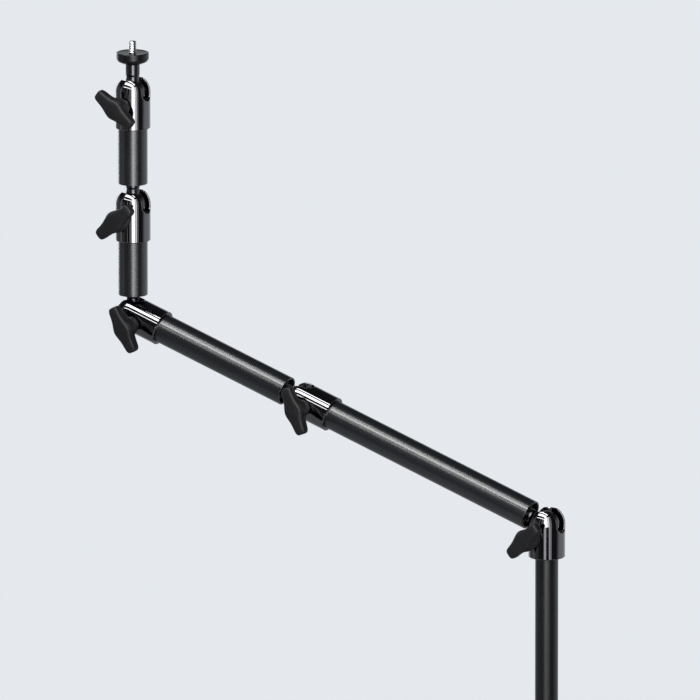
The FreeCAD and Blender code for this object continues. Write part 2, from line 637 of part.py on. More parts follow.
def make_leg_foot(letter, turn):
    """A rubber cap over the leg's end, flat where it meets the floor."""
    skin = "dims.foot_radius"
    cap = turned("boot_" + letter, [
        ("dims.leg_radius + dims.foot_fit", "-dims.foot_depth"),
        (skin + " - 1", "-dims.foot_depth"), (skin, "1 - dims.foot_depth"),
        (skin, "dims.foot_end - 3"), (skin + " - 3", "dims.foot_end"), ("0", "dims.foot_end"),
        ("0", "0.2"), ("dims.leg_radius + dims.foot_fit", "0.2"),
    ])
    end = FreeCAD.Vector(SIZE["leg_reach"], 0, SIZE["leg_level"])
    cap.Placement = FreeCAD.Placement(end, FreeCAD.Rotation(FreeCAD.Vector(0, 1, 0), 90))
    floor = doc.addObject("Part::Box", "floor_" + letter)
    floor.setExpression("Length", "2 * dims.leg_reach")
    floor.setExpression("Width", "4 * dims.foot_radius")
    floor.setExpression("Height", "2 * dims.foot_radius")
    floor.setExpression("Placement.Base.y", "-2 * dims.foot_radius")
    floor.setExpression("Placement.Base.z", "-2 * dims.foot_radius")
    cut = doc.addObject("Part::Cut", "leg_foot_" + letter)
    cut.Base, cut.Tool = cap, floor
    doc.recompute()
    finish_part(cut, "leg_%s_foot" % letter, turn)


# ---------------------------------------------------------------- build, check and write

make_column()
make_leg("a", 0, 180.0, "dims.hub_fit")
make_leg("b", 1, 60.0, "dims.hub_play")
make_leg("c", 2, -60.0, "dims.hub_play")
make_collar()
make_pole()
for joint in (5, 4, 3, 2, 1):
    make_joint(joint)
for tube in (4, 3, 2, 1):
    make_tube(tube)
make_head()
doc.recompute()

for item in doc.Objects:
    if "Invalid" in item.State or "Error" in item.State:
        raise RuntimeError("%s is %s" % (item.Name, item.State))
os.makedirs("parts", exist_ok=True)
for item in parts:
    shape = item.Shape
    if shape.isNull() or not shape.isValid():
        raise RuntimeError("%s has no valid shape" % item.Label)
    shape.exportStep("parts/%s.step" % item.Label)
print("wrote %d sub-parts" % len(parts))
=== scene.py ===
import json
import math

import bmesh
import bpy
from mathutils import Matrix, Vector


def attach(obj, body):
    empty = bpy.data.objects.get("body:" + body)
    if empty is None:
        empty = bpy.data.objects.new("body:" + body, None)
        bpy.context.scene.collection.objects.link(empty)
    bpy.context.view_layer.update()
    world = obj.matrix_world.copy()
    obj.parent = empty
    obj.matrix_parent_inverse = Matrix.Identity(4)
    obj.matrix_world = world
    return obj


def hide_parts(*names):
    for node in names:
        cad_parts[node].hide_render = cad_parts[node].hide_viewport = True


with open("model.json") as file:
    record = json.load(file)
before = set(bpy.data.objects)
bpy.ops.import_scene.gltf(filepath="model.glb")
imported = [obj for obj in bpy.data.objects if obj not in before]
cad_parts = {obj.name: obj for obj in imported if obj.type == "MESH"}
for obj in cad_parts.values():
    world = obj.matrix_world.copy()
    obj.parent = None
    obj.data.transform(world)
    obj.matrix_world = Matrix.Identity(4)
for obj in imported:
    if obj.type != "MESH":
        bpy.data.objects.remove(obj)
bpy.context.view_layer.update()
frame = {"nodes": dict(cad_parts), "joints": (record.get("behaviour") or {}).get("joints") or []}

MM = 0.001
NODES = frame["nodes"]
JOINTS = {j["name"]: j for j in frame["joints"]}

# the five ball joints, counted from the camera's end down to the pole
NUMBERS = range(1, 6)
BALL = {k: Vector(JOINTS["joint_%d_tilt" % k]["pos_m"]) for k in NUMBERS}
STUD_AXIS = {k: Vector(JOINTS["joint_%d_turn" % k]["axis"]).normalized() for k in NUMBERS}
KNOB_AT = {k: Vector(JOINTS["knob_%d_turn" % k]["pos_m"]) for k in NUMBERS}
KNOB_AXIS = {k: Vector(JOINTS["knob_%d_turn" % k]["axis"]).normalized() for k in NUMBERS}
CHILD = {1: "head", 2: "section_1", 3: "section_2", 4: "section_3", 5: "section_4"}
UP = Vector((0, 0, 1))
FRONT = Vector((0, -1, 0))


# ------------------------------------------------------------------ frames

def way_to(azimuth, elevation=0.0):
    """The unit vector in a direction in degrees, with azimuth 0 in front of the knobs."""
    a, e = math.radians(azimuth), math.radians(elevation)
    return Vector((math.sin(a) * math.cos(e), -math.cos(a) * math.cos(e), math.sin(e)))


def stand_at(spot, axis=UP):
    """The matrix that puts a piece's own Z along axis, with its X in the arm's plane."""
    z = axis.normalized()
    x = Vector((0, 1, 0)).cross(z).normalized()
    return Matrix.Translation(spot) @ Matrix((x, z.cross(x), z)).transposed().to_4x4()


def face_at(spot, turn, axis=FRONT):
    """The matrix of a knob turned by turn degrees, with its Z along axis, away from the stand."""
    swing = FRONT.rotation_difference(axis).to_matrix().to_4x4()
    facing = Matrix.Rotation(math.radians(90), 4, "X")
    return (Matrix.Translation(spot) @ swing @ facing
            @ Matrix.Rotation(math.radians(turn), 4, "Z"))


# ------------------------------------------------------------------ camera

# at the photograph's angle: a very long lens, so that it hardly converges
AZIMUTH, ELEVATION = 30.0, 12.5
LENS, SENSOR = 1400.0, 36.0               # millimetres
FIELD = 0.5876                            # metres across the picture, at the stand
AIM_RIGHT, AIM_OVER = -0.1652, 0.1455     # the picture's middle, from the lowest ball
BACK = way_to(AZIMUTH, ELEVATION)
RIGHT = Vector((math.cos(math.radians(AZIMUTH)), math.sin(math.radians(AZIMUTH)), 0))
OVER = BACK.cross(RIGHT)
CENTRE = BALL[5] + RIGHT * AIM_RIGHT + OVER * AIM_OVER


def make_camera():
    data = bpy.data.cameras.new("camera")
    data.lens, data.sensor_width = LENS, SENSOR
    data.clip_start, data.clip_end = 1.0, 100.0
    camera = bpy.data.objects.new("camera", data)
    bpy.context.scene.collection.objects.link(camera)
    camera.location = CENTRE + BACK * (FIELD * LENS / SENSOR)
    camera.rotation_mode = "QUATERNION"
    camera.rotation_quaternion = (-BACK).to_track_quat("-Z", "Y")
    bpy.context.scene.camera = camera


# ------------------------------------------------------------------ materials

class Nodes:
    """A new material, with small helpers that add and link its shader nodes."""

    def __init__(self, name):
        self.material = bpy.data.materials.new(name)
        self.material.use_nodes = True
        self.tree = self.material.node_tree
        self.shader = self.tree.nodes["Principled BSDF"]

    def add(self, kind, **values):
        node = self.tree.nodes.new(kind)
        for key, value in values.items():
            setattr(node, key, value)
        return node

    def link(self, a, b):
        self.tree.links.new(a, b)

    def noise(self, coords, scale, detail, rough, stretch):
        mapping = self.add("ShaderNodeMapping")
        mapping.inputs["Scale"].default_value = stretch
        self.link(coords, mapping.inputs["Vector"])
        node = self.add("ShaderNodeTexNoise")
        node.inputs["Scale"].default_value = scale
        node.inputs["Detail"].default_value = detail
        node.inputs["Roughness"].default_value = rough
        self.link(mapping.outputs["Vector"], node.inputs["Vector"])
        return node.outputs["Fac"]

    def remap(self, value, low, high, from_low=0.3, from_high=0.7):
        """value brought to low and high from its own range, which for noise is 0.3 to 0.7."""
        node = self.add("ShaderNodeMapRange")
        node.inputs["From Min"].default_value = from_low
        node.inputs["From Max"].default_value = from_high
        node.inputs["To Min"].default_value = low
        node.inputs["To Max"].default_value = high
        self.link(value, node.inputs["Value"])
        return node.outputs["Result"]

    def combine(self, operation, a, b):
        node = self.add("ShaderNodeMath", operation=operation, use_clamp=True)
        self.link(a, node.inputs[0])
        self.link(b, node.inputs[1])
        return node.outputs[0]

    def mix(self, factor, first, second):
        """Two colours mixed by factor. Each is a red, green and blue triple or an output."""
        node = self.add("ShaderNodeMix", data_type="RGBA")
        ends = [socket for socket in node.inputs if socket.type == "RGBA"]
        for socket, colour in zip(ends, (first, second)):
            if isinstance(colour, bpy.types.NodeSocket):
                self.link(colour, socket)
            else:
                socket.default_value = (*colour, 1)
        self.link(factor, node.inputs["Factor"])
        return [socket for socket in node.outputs if socket.type == "RGBA"][0]


EVEN = (1.0, 1.0, 1.0)
LINES = (1.0, 0.02, 1.0)      # drawn out along a tube, in the piece's own map
RINGS = (0.02, 1.0, 1.0)      # drawn out round a turned piece
EDGE_FLAT, EDGE_SHARP = 0.52, 0.60        # pointiness where wear starts and is full
PATCH_BARE, PATCH_WORN = 0.35, 0.65       # noise where wear is least and is full
LEAST_WEAR = 0.3                          # share of the wear that the least worn patches have


def finish_material(name, colour, roughness, spread, grain, relief, depth, metallic=0.0,
                    coords="Object", stretch=EVEN, tone=0.12, specular=0.5, wear=0.0,
                    wear_colour=None):
    """A surface with varied tone and roughness, a fine relief, and worn edges where wanted.

    tone is how far the colour strays, as a share, and spread how far the roughness does.
    grain and relief are noise scales per metre, and depth is the relief's, in metres.
    """
    n = Nodes(name)
    s = n.shader
    s.inputs["Metallic"].default_value = metallic
    s.inputs["Specular IOR Level"].default_value = specular
    place = n.add("ShaderNodeTexCoord").outputs[coords]
    dark = [c * (1 - tone) for c in colour]
    light = [min(1.0, c * (1 + tone)) for c in colour]
    cloud = n.noise(place, grain, detail=4.0, rough=0.6, stretch=stretch)
    shade = n.mix(n.remap(cloud, 0.0, 1.0), dark, light)
    smear = n.noise(place, grain * 2.3, detail=5.0, rough=0.65, stretch=stretch)
    n.link(n.remap(smear, roughness - spread, roughness + spread), s.inputs["Roughness"])
    if wear > 0:
        edge = n.add("ShaderNodeNewGeometry").outputs["Pointiness"]
        rub = n.remap(edge, 0.0, wear, EDGE_FLAT, EDGE_SHARP)
        patch = n.noise(place, grain * 5, detail=3.0, rough=0.55, stretch=EVEN)
        patchy = n.remap(patch, LEAST_WEAR, 1.0, PATCH_BARE, PATCH_WORN)
        shade = n.mix(n.combine("MULTIPLY", rub, patchy), shade, wear_colour)
    n.link(shade, s.inputs["Base Color"])
    bump = n.add("ShaderNodeBump")
    bump.inputs["Strength"].default_value = 1.0
    bump.inputs["Distance"].default_value = depth
    height = n.noise(place, relief, detail=3.0, rough=0.6, stretch=stretch)
    n.link(height, bump.inputs["Height"])
    n.link(bump.outputs["Normal"], s.inputs["Normal"])
    return n.material


FINISHES = {
    "black_chrome": dict(
        colour=(0.115, 0.113, 0.121), metallic=1.0, roughness=0.055, spread=0.012,
        grain=90, relief=260, depth=0.0000015, tone=0.04),
    "anodised_tube": dict(
        colour=(0.0034, 0.0038, 0.0050), roughness=0.26, spread=0.03, specular=0.6,
        grain=350, relief=2600, depth=0.000002, coords="UV", stretch=LINES, tone=0.15),
    "black_disc": dict(
        colour=(0.0028, 0.0029, 0.0034), roughness=0.30, spread=0.04, specular=0.22,
        grain=350, relief=2600, depth=0.000004, coords="UV", stretch=RINGS, tone=0.15),
    "black_pole": dict(
        colour=(0.0024, 0.0027, 0.0034), roughness=0.30, spread=0.04, specular=0.34,
        grain=350, relief=2600, depth=0.000004, coords="UV", stretch=LINES, tone=0.15),
    "black_steel": dict(
        colour=(0.055, 0.055, 0.06), metallic=1.0, roughness=0.22, spread=0.04,
        grain=500, relief=2200, depth=0.000002, coords="UV", stretch=RINGS),
    "knob_plastic": dict(
        colour=(0.0036, 0.0037, 0.0042), roughness=0.50, spread=0.05, specular=0.22,
        grain=90, relief=2400, depth=0.00002),
    "bright_steel": dict(
        colour=(0.46, 0.46, 0.475), metallic=1.0, roughness=0.22, spread=0.06,
        grain=300, relief=2500, depth=0.000004, tone=0.08),
    "nylon": dict(
        colour=(0.006, 0.006, 0.007), roughness=0.45, spread=0.05,
        grain=120, relief=1500, depth=0.00001),
    "powder_coat": dict(
        colour=(0.0065, 0.0066, 0.0078), roughness=0.38, spread=0.05,
        grain=45, relief=900, depth=0.00002, wear=0.35, wear_colour=(0.04, 0.04, 0.042)),
    "foot_rubber": dict(
        colour=(0.014, 0.014, 0.015), roughness=0.78, spread=0.08, specular=0.3,
        grain=70, relief=1300, depth=0.00004, tone=0.2),
}
MATERIALS = {name: finish_material(name, **finish) for name, finish in FINISHES.items()}


# ------------------------------------------------------------------ pieces

NOTHING = 1e-6                # millimetres, under which a radius or a length counts as none
NEARLY_STRAIGHT = 172         # degrees, over which a corner isn't rounded
CORNER = 0.35                 # millimetres, for a corner that has no radius of its own
LONGEST_CUT = 0.45            # share of an edge that a corner may take
MAP_ROUND = 0.08              # metres of map round every turned piece, about a tube's girth
FINE, PLAIN, COARSE = 128, 96, 64         # sides of large, middling and small turned pieces


def carried_over(node, slot):
    """A CAD node that keeps its shape and gets the finish of its slot."""
    for material_slot in NODES[node].material_slots:
        material_slot.material = MATERIALS[slot]


def take_place(obj, body, node, slot, finish=None):
    """The piece rides on its body, hides its CAD node and takes the finish given, or else its
    slot's.
    """
    obj.data.materials.clear()
    obj.data.materials.append(MATERIALS[finish or slot])
    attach(obj, body)
    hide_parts(node)


def smooth(obj, degrees=40.0, weighted=True):
    """Smooth shading, with creases sharper than degrees kept and flat faces kept flat."""
    mesh = obj.data
    mesh.polygons.foreach_set("use_smooth", [True] * len(mesh.polygons))
    work = bmesh.new()
    work.from_mesh(mesh)
    limit = math.radians(degrees)
    for edge in work.edges:
        edge.smooth = len(edge.link_faces) == 2 and edge.calc_face_angle(0.0) < limit
    work.to_mesh(mesh)
    work.free()
    if weighted:
        normals = obj.modifiers.new("even_normals", "WEIGHTED_NORMAL")
        normals.keep_sharp = True
        normals.weight = 60           # over 50, large faces count for more


def rounded(points, steps):
    """A closed outline in millimetres with every corner off the axis rounded.

    A point is (radius, height) or (radius, height, its own corner radius).
    """
    out = []
    for i, point in enumerate(points):
        here = Vector(point[:2])
        a = Vector(points[i - 1][:2]) - here
        b = Vector(points[(i + 1) % len(points)][:2]) - here
        size = point[2] if len(point) > 2 else CORNER
        if size <= 0 or min(here.x, a.length, b.length) < NOTHING:
            out.append(here)
            continue
        angle = a.angle(b)
        if angle > math.radians(NEARLY_STRAIGHT):
            out.append(here)
            continue
        back = min(size / math.tan(angle / 2), a.length * LONGEST_CUT, b.length * LONGEST_CUT)
        start, end = here + a.normalized() * back, here + b.normalized() * back
        for step in range(steps + 1):
            t = step / steps
            out.append(start * (1 - t) ** 2 + here * 2 * t * (1 - t) + end * t ** 2)
    return out


def arc(radius, start, end, steps):
    """Points of an arc about the origin, in degrees from the outward direction, unrounded."""
    spots = []
    for i in range(steps + 1):
        a = math.radians(start + (end - start) * i / steps)
        spots.append((radius * math.cos(a), radius * math.sin(a), 0))
    return spots


def finished(work, name):
    """The mesh made of a bmesh."""
    mesh = bpy.data.meshes.new(name)
    work.to_mesh(mesh)
    work.free()
    return mesh


def close_rings(work, rings):
    """Fills between rings of equal count and caps both ends, with the faces outwards."""
    for low, high in zip(rings, rings[1:]):
        for i in range(len(low)):
            j = (i + 1) % len(low)
            work.faces.new((low[i], low[j], high[j], high[i]))
    work.faces.new(list(reversed(rings[0])))
    work.faces.new(rings[-1])
    bmesh.ops.recalc_face_normals(work, faces=work.faces)


def lathe_mesh(name, outline, turns):
    """A turned mesh from a closed outline in millimetres, with a map in metres on it."""
    work = bmesh.new()
    layer = work.loops.layers.uv.new("map")
    rings = []
    for radius, height in outline:
        if radius < NOTHING:
            rings.append([work.verts.new((0, 0, height * MM))])
            continue
        ring = []
        for i in range(turns):
            a = 2 * math.pi * i / turns
            ring.append(work.verts.new(
                (radius * math.cos(a) * MM, radius * math.sin(a) * MM, height * MM)))
        rings.append(ring)
    for k, low in enumerate(rings):
        after = (k + 1) % len(rings)
        high = rings[after]
        if len(low) == 1 and len(high) == 1:
            continue
        v0, v1 = outline[k][1] * MM, outline[after][1] * MM
        for i in range(turns):
            j = (i + 1) % turns
            corners = [low[i % len(low)], low[j % len(low)],
                       high[j % len(high)], high[i % len(high)]]
            spread = [(i, v0), (i + 1, v0), (i + 1, v1), (i, v1)]
            if len(low) == 1:
                corners, spread = corners[1:], spread[1:]
            elif len(high) == 1:
                corners, spread = corners[:3], spread[:3]
            face = work.faces.new(corners)
            for loop, (u, v) in zip(face.loops, spread):
                loop[layer].uv = (u / turns * MAP_ROUND, v)
    bmesh.ops.recalc_face_normals(work, faces=work.faces)
    return finished(work, name)


def add_object(name, mesh, matrix):
    """A new object with its mesh moved by matrix, and its own origin left at the frame's."""
    obj = bpy.data.objects.new(name, mesh)
    bpy.context.scene.collection.objects.link(obj)
    mesh.transform(matrix)
    return obj


def turned(name, points, matrix, body, node, slot, turns=PLAIN, steps=3, finish=None):
    """A turned piece in place of its CAD node."""
    obj = add_object(name, lathe_mesh(name, rounded(points, steps), turns), matrix)
    smooth(obj)
    take_place(obj, body, node, slot, finish)


# ------------------------------------------------------------------ balls, studs and knobs

# Heights in a ball joint are millimetres from its ball's centre, along its stud.
BALL_RADIUS, BALL_FLAT = 10.8, 8.98       # the ball, and the flat that its stud stands on
BALL_BORE, BORE_FLOOR = 3.05, -4.0        # the hole in it for the stud's lower spigot
SPIGOT_RADIUS, SPIGOT_END = 3.0, -3.7
STUD_RADIUS, WAIST_RADIUS = 6.0, 5.55
NECK_RADIUS = 5.93                        # next to the ball, clear of the seat at full tilt
NECK_FOOT, NECK_TOP = 9.03, 10.2
WAIST_FOOT, WAIST_TOP, STUD_FOOT = 12.0, 13.8, 15.2
SHOULDER = {1: 24.0, 2: 22.0, 3: 20.5, 4: 20.5, 5: 20.5}
UPPER_SPIGOT = 4.0                        # its radius, inside the plug or the disc
UPPER_END = {1: 25.2, 2: 34.0, 3: 32.5, 4: 32.5, 5: 32.5}
GROOVE_RADIUS, GROOVE_PITCH, GROOVE_WIDTH = 5.5, 1.76, 1.3


def make_ball_joint(k):
    ball_frame = stand_at(BALL[k], STUD_AXIS[k])
    flat = math.degrees(math.acos(STUD_RADIUS / BALL_RADIUS))
    turned("ball_%d_turned" % k, arc(BALL_RADIUS, -90, flat, 24) + [
        (BALL_BORE, BALL_FLAT, 0), (BALL_BORE, BORE_FLOOR, 0), (0, BORE_FLOOR, 0)],
        ball_frame, "ball_%d" % k, "ball_%d" % k, "black_steel", turns=COARSE)
    shoulder, end = SHOULDER[k], UPPER_END[k]
    points = [
        (0, SPIGOT_END, 0), (SPIGOT_RADIUS, SPIGOT_END), (SPIGOT_RADIUS, NECK_FOOT, 0),
        (NECK_RADIUS, NECK_FOOT, 0.2), (NECK_RADIUS, NECK_TOP, 0.8),
        (WAIST_RADIUS, WAIST_FOOT, 2.0), (WAIST_RADIUS, WAIST_TOP, 2.0),
        (STUD_RADIUS, STUD_FOOT, 0.8)]
    if k != 1:                            # the head's stud has no grooves
        for groove in (3, 2, 1):
            low = shoulder - groove * GROOVE_PITCH
            points += [
                (STUD_RADIUS, low, 0.15), (GROOVE_RADIUS, low + 0.4, 0.15),
                (GROOVE_RADIUS, low + 0.9, 0.15), (STUD_RADIUS, low + GROOVE_WIDTH, 0.15)]
    points += [(STUD_RADIUS, shoulder, 0.2), (UPPER_SPIGOT, shoulder, 0),
               (UPPER_SPIGOT, end, 0), (0, end, 0)]
    turned("stud_%d_turned" % k, points, ball_frame, CHILD[k], "stud_%d" % k, "black_steel",
           turns=COARSE)
    carried_over("socket_%d" % k, "black_chrome")
    carried_over("seat_%d" % k, "nylon")
    carried_over("knob_screw_%d" % k, "bright_steel")


# A knob is made in millimetres, with its screw along Z from the socket's axis.
WING_HALF, WING_HEIGHT = 20.85, 29.7      # a wing's reach, and the middle of its thickness
# half the width and half the thickness of the wings: at the wings, added at the hub, how far
# out that addition goes as a share of the reach, and added again at the tips
WING_CHORD, CHORD_AT_HUB, CHORD_RUN, CHORD_AT_TIP = 5.4, 3.3, 0.38, 0.3
WING_THICK, THICK_AT_HUB, THICK_RUN = 4.7, 0.5, 0.5
WING_SLICES, WING_AROUND = 56, 40
SLICE_CROWDING = 1.6                      # over 1, the slices are closer near the tips
TIP_BEND = 5.5                            # how square a wing's tip is. 2 is an ellipse
SECTION_BEND = 3.6                        # how square its cross-section is
SLIMMEST = 0.02                           # share of the width left at the very tip
KNOB_VOXEL = 0.42
KNOB_HUB = [
    (0, 16.2, 0), (7.0, 16.2, 0.6), (7.4, 19.0, 2.0), (9.4, 25.0, 3.0), (9.4, 31.0, 3.0),
    (7.2, 34.6, 2.4), (0, 34.6, 0)]
KNOB_TURN = {1: -37.0, 2: 41.0, 3: -66.0, 4: -68.0, 5: 43.0}
COLLAR_KNOB_TURN = 25.0
COLLAR_KNOB_OUT = 4 * MM                  # the collar's radius is that much over a socket's


def squared(value, bend):
    """A sine or cosine pushed out, so that a circle turns into a rounded square."""
    return math.copysign(abs(value) ** (2 / bend), value)


def knob_mesh():
    """One moulded wing knob, its Z along its screw, made as one closed skin."""
    bar = bmesh.new()
    rings = []
    for i in range(WING_SLICES + 1):
        s = -1 + 2 * i / WING_SLICES
        s = math.copysign(1 - (1 - abs(s)) ** SLICE_CROWDING, s)
        close = max(SLIMMEST, max(0.0, 1 - abs(s) ** TIP_BEND) ** (1 / TIP_BEND))
        chord = (WING_CHORD + CHORD_AT_HUB * math.exp(-(s / CHORD_RUN) ** 2)
                 + CHORD_AT_TIP * abs(s) ** 2) * close
        thick = (WING_THICK + THICK_AT_HUB * math.exp(-(s / THICK_RUN) ** 2)) * close
        ring = []
        for j in range(WING_AROUND):
            a = 2 * math.pi * j / WING_AROUND
            y = chord * squared(math.cos(a), SECTION_BEND)
            z = thick * squared(math.sin(a), SECTION_BEND)
            ring.append(bar.verts.new((WING_HALF * s, y, WING_HEIGHT + z)))
        rings.append(ring)
    close_rings(bar, rings)
    hub = lathe_mesh("knob_hub", rounded(KNOB_HUB, 5), COARSE)
    hub.transform(Matrix.Scale(1 / MM, 4))
    whole = bpy.data.objects.new("knob_work", finished(bar, "knob_bar"))
    part = bpy.data.objects.new("knob_part", hub)
    for o in (whole, part):
        bpy.context.scene.collection.objects.link(o)
    join = whole.modifiers.new("join", "BOOLEAN")
    join.operation, join.object, join.solver = "UNION", part, "EXACT"
    skin = whole.modifiers.new("skin", "REMESH")
    skin.mode, skin.voxel_size, skin.use_smooth_shade = "VOXEL", KNOB_VOXEL, True
    even = whole.modifiers.new("even", "SMOOTH")
    even.factor, even.iterations = 0.6, 8
    graph = bpy.context.evaluated_depsgraph_get()
    made = bpy.data.meshes.new_from_object(whole.evaluated_get(graph))
    for o in (whole, part):
        bpy.data.objects.remove(o)
    made.transform(Matrix.Scale(MM, 4))
    made.name = "knob"
    return made


def make_knobs():
    pattern = knob_mesh()

    def add(node, matrix):
        obj = add_object(node + "_moulded", pattern.copy(), matrix)
        smooth(obj, degrees=180, weighted=False)
        take_place(obj, node, node, "knob_plastic")

    for k in NUMBERS:
        add("knob_%d" % k, face_at(KNOB_AT[k], KNOB_TURN[k], KNOB_AXIS[k]))
    spot = Vector(JOINTS["collar_knob_turn"]["pos_m"])
    spot.y = -COLLAR_KNOB_OUT
    add("collar_knob", face_at(spot, COLLAR_KNOB_TURN))
    carried_over("collar_knob_screw", "bright_steel")


# ------------------------------------------------------------------ tubes and head

TUBE_RADIUS, TUBE_BORE = 12.5, 11.0
TUBE_FOOT = {1: 18.0, 2: 16.5, 3: 16.5, 4: 16.5}      # from the ball below the tube
END_GAP = 17.5                # from the top of a tube, or of the pole, to the ball above it
PLUG_OUTLINE = [              # heights from the tube's foot, inside which it is set back
    (4.05, 4, 0.1), (9.6, 4, 0.3), (9.9, 4.7, 0.2), (10.95, 4.8, 0.2), (10.95, 20, 0.3),
    (0, 20, 0), (0, 16.3, 0), (4.05, 16.3, 0)]
SCREW_RADIUS, SCREW_PITCH = 3.175, 1.27
SCREW_FOOT, SCREW_TOP = 33.1, 43.78
THREAD_DEPTH, THREAD_SIDES = 0.42, 48
THREAD_ROWS = 10              # for each turn of the thread
THREAD_FLANK = 2.6            # how steep its sides are
END_TAPER = 0.9               # how much the screw's radius may fall at its two ends
TIP_RUN, TIP_START = 0.9, 0.25        # how far that goes on, and the share left at the very end
FOOT_RUN, FOOT_START = 0.5, 0.2
DISC_OUTLINE = [
    (4.05, 24.0, 0), (7.0, 24.0, 0.5), (12.2, 26.3, 2.4), (13.7, 28.3, 2.6), (13.7, 34.0, 2.3),
    (12.0, 34.0, 0.3), (11.4, 33.7, 0.5), (4.6, 33.5, 0.5), (3.6, 33.5, 0.25),
    (3.2, 33.1, 0.1), (2.925, 30.0, 0), (0, 30.0, 0), (0, 25.5, 0), (4.05, 25.5, 0)]


def make_tubes():
    for k in range(1, 5):
        matrix = stand_at(BALL[k + 1], STUD_AXIS[k + 1])
        top = (BALL[k] - BALL[k + 1]).length / MM - END_GAP
        foot = TUBE_FOOT[k]
        turned("tube_%d_drawn" % k, [
            (TUBE_BORE, foot, 0.25), (TUBE_RADIUS, foot, 0.35), (TUBE_RADIUS, top, 0.1),
            (TUBE_BORE, top, 0.1)],
            matrix, "section_%d" % k, "tube_%d" % k, "anodised_tube", turns=FINE)
        turned("plug_%d_turned" % k,
               [(radius, foot + height, corner) for radius, height, corner in PLUG_OUTLINE],
               matrix, "section_%d" % k, "plug_%d" % k, "nylon")


def thread_mesh(name):
    """The screw's thread as a closed skin: a cylinder whose radius follows the helix."""
    work = bmesh.new()
    length = SCREW_TOP - SCREW_FOOT
    rows = int(length / SCREW_PITCH * THREAD_ROWS)
    rings = []
    for row in range(rows + 1):
        z = SCREW_FOOT + length * row / rows
        full = min(1.0, (SCREW_TOP - z) / TIP_RUN + TIP_START)
        full *= min(1.0, (z - SCREW_FOOT) / FOOT_RUN + FOOT_START)
        ring = []
        for i in range(THREAD_SIDES):
            phase = (z / SCREW_PITCH - i / THREAD_SIDES) % 1.0
            crest = min(1.0, abs(phase - 0.5) * THREAD_FLANK)
            r = SCREW_RADIUS - max(THREAD_DEPTH * (1 - crest), END_TAPER * (1 - full))
            a = 2 * math.pi * i / THREAD_SIDES
            ring.append(work.verts.new((r * math.cos(a) * MM, r * math.sin(a) * MM, z * MM)))
        rings.append(ring)
    close_rings(work, rings)
    return finished(work, name)


def make_head():
    matrix = stand_at(BALL[1], STUD_AXIS[1])
    turned("head_disc_turned", DISC_OUTLINE, matrix, "head", "head_disc", "anodised_tube",
           steps=6, finish="black_disc")
    obj = add_object("camera_screw_threaded", thread_mesh("camera_screw"), matrix)
    smooth(obj, degrees=60, weighted=False)
    take_place(obj, "head", "camera_screw", "bright_steel")


# ------------------------------------------------------------------ the stand

# Heights here are millimetres above the floor.
COLUMN_RADIUS, COLUMN_BORE, COLUMN_FOOT, COLUMN_TOP = 12.5, 10.75, 30, 500
POLE_RADIUS, POLE_BORE = 9.75, 8.25
POLE_REACH = 467.5            # from the lowest ball down to the pole's foot
HUB_RADIUS, HUB_BORE = 19.0, 12.58
HUB_FOOT, HUB_STEP, HUB_HEIGHT = 38, 26, 24
COLLAR_OUTLINE = [
    (12.55, 465, 0.2), (17.5, 465, 0.8), (19.0, 467, 0.8), (19.0, 469.5, 0.3),
    (18.5, 470, 0.3), (18.5, 471, 0.3), (19.0, 471.5, 0.3), (19.0, 498.5, 0.3),
    (18.5, 499, 0.3), (18.5, 500, 0.3), (19.0, 500.5, 0.3), (19.0, 503, 0.8),
    (17.0, 505, 0.8), (10.35, 505, 0.3), (10.35, 502.5, 0), (12.55, 502.5, 0)]


def make_stand():
    upright = Matrix.Identity(4)
    turned("column_drawn", [
        (COLUMN_BORE, COLUMN_FOOT, 0.2), (COLUMN_RADIUS, COLUMN_FOOT, 0.3),
        (COLUMN_RADIUS, COLUMN_TOP, 0.3), (COLUMN_BORE, COLUMN_TOP, 0.2)],
        upright, "base", "column", "powder_coat", turns=FINE)
    lowest_ball = BALL[5].z / MM
    foot, top = lowest_ball - POLE_REACH, lowest_ball - END_GAP
    turned("pole_drawn", [
        (POLE_BORE, foot, 0.2), (POLE_RADIUS, foot, 0.3), (POLE_RADIUS, top, 0.3),
        (POLE_BORE, top, 0.2)],
        upright, "pole", "pole", "black_pole", turns=FINE)
    turned("collar_turned", COLLAR_OUTLINE, upright, "base", "collar", "powder_coat")
    for index, (letter, body) in enumerate((("a", "base"), ("b", "leg_b"), ("c", "leg_c"))):
        foot = HUB_FOOT + HUB_STEP * index
        top = foot + HUB_HEIGHT
        turned("leg_%s_hub_turned" % letter, [
            (HUB_BORE, foot, 0.2), (HUB_RADIUS, foot, 1.2), (HUB_RADIUS, top, 1.2),
            (HUB_BORE, top, 0.2)],
            upright, body, "leg_%s_hub" % letter, "powder_coat")
        carried_over("leg_%s_tube" % letter, "powder_coat")
        carried_over("leg_%s_foot" % letter, "foot_rubber")
    carried_over("stop_rings", "black_steel")
    for node in ("column_end_cap", "hub_washers", "collar_bush", "pole_guide"):
        carried_over(node, "nylon")


# ------------------------------------------------------------------ floor and world

PALE = (0.783, 0.815, 0.855)              # the backdrop, as the camera sees it
FLOOR_COLOUR = (0.46, 0.47, 0.487)
FLOOR_RADIUS, FLOOR_DROP = 2.4, 0.0004
FLOOR_FADES = (0.75, 2.2)                 # radii between which it turns into the backdrop
FLOOR_MIRRORED = 0.4                      # how much of it is missing in mirrors
ROOM_COLOUR = (0.93, 0.96, 1.0)           # the room behind the lights, seen in mirrors only
ROOM_DARK = 0.045
# the room's two paler sides: azimuth, the dot products where each starts and is full, and
# its radiance over the dark
ROOM_WALLS = ((180.0, 0.0, 0.5, 0.90), (-75.0, 0.4, 0.95, 0.25))
# between these heights, which are sines of the elevation, the paler sides fade out
WALL_TOP, WALL_FOOT = (0.12, 0.45), (-0.75, -0.40)


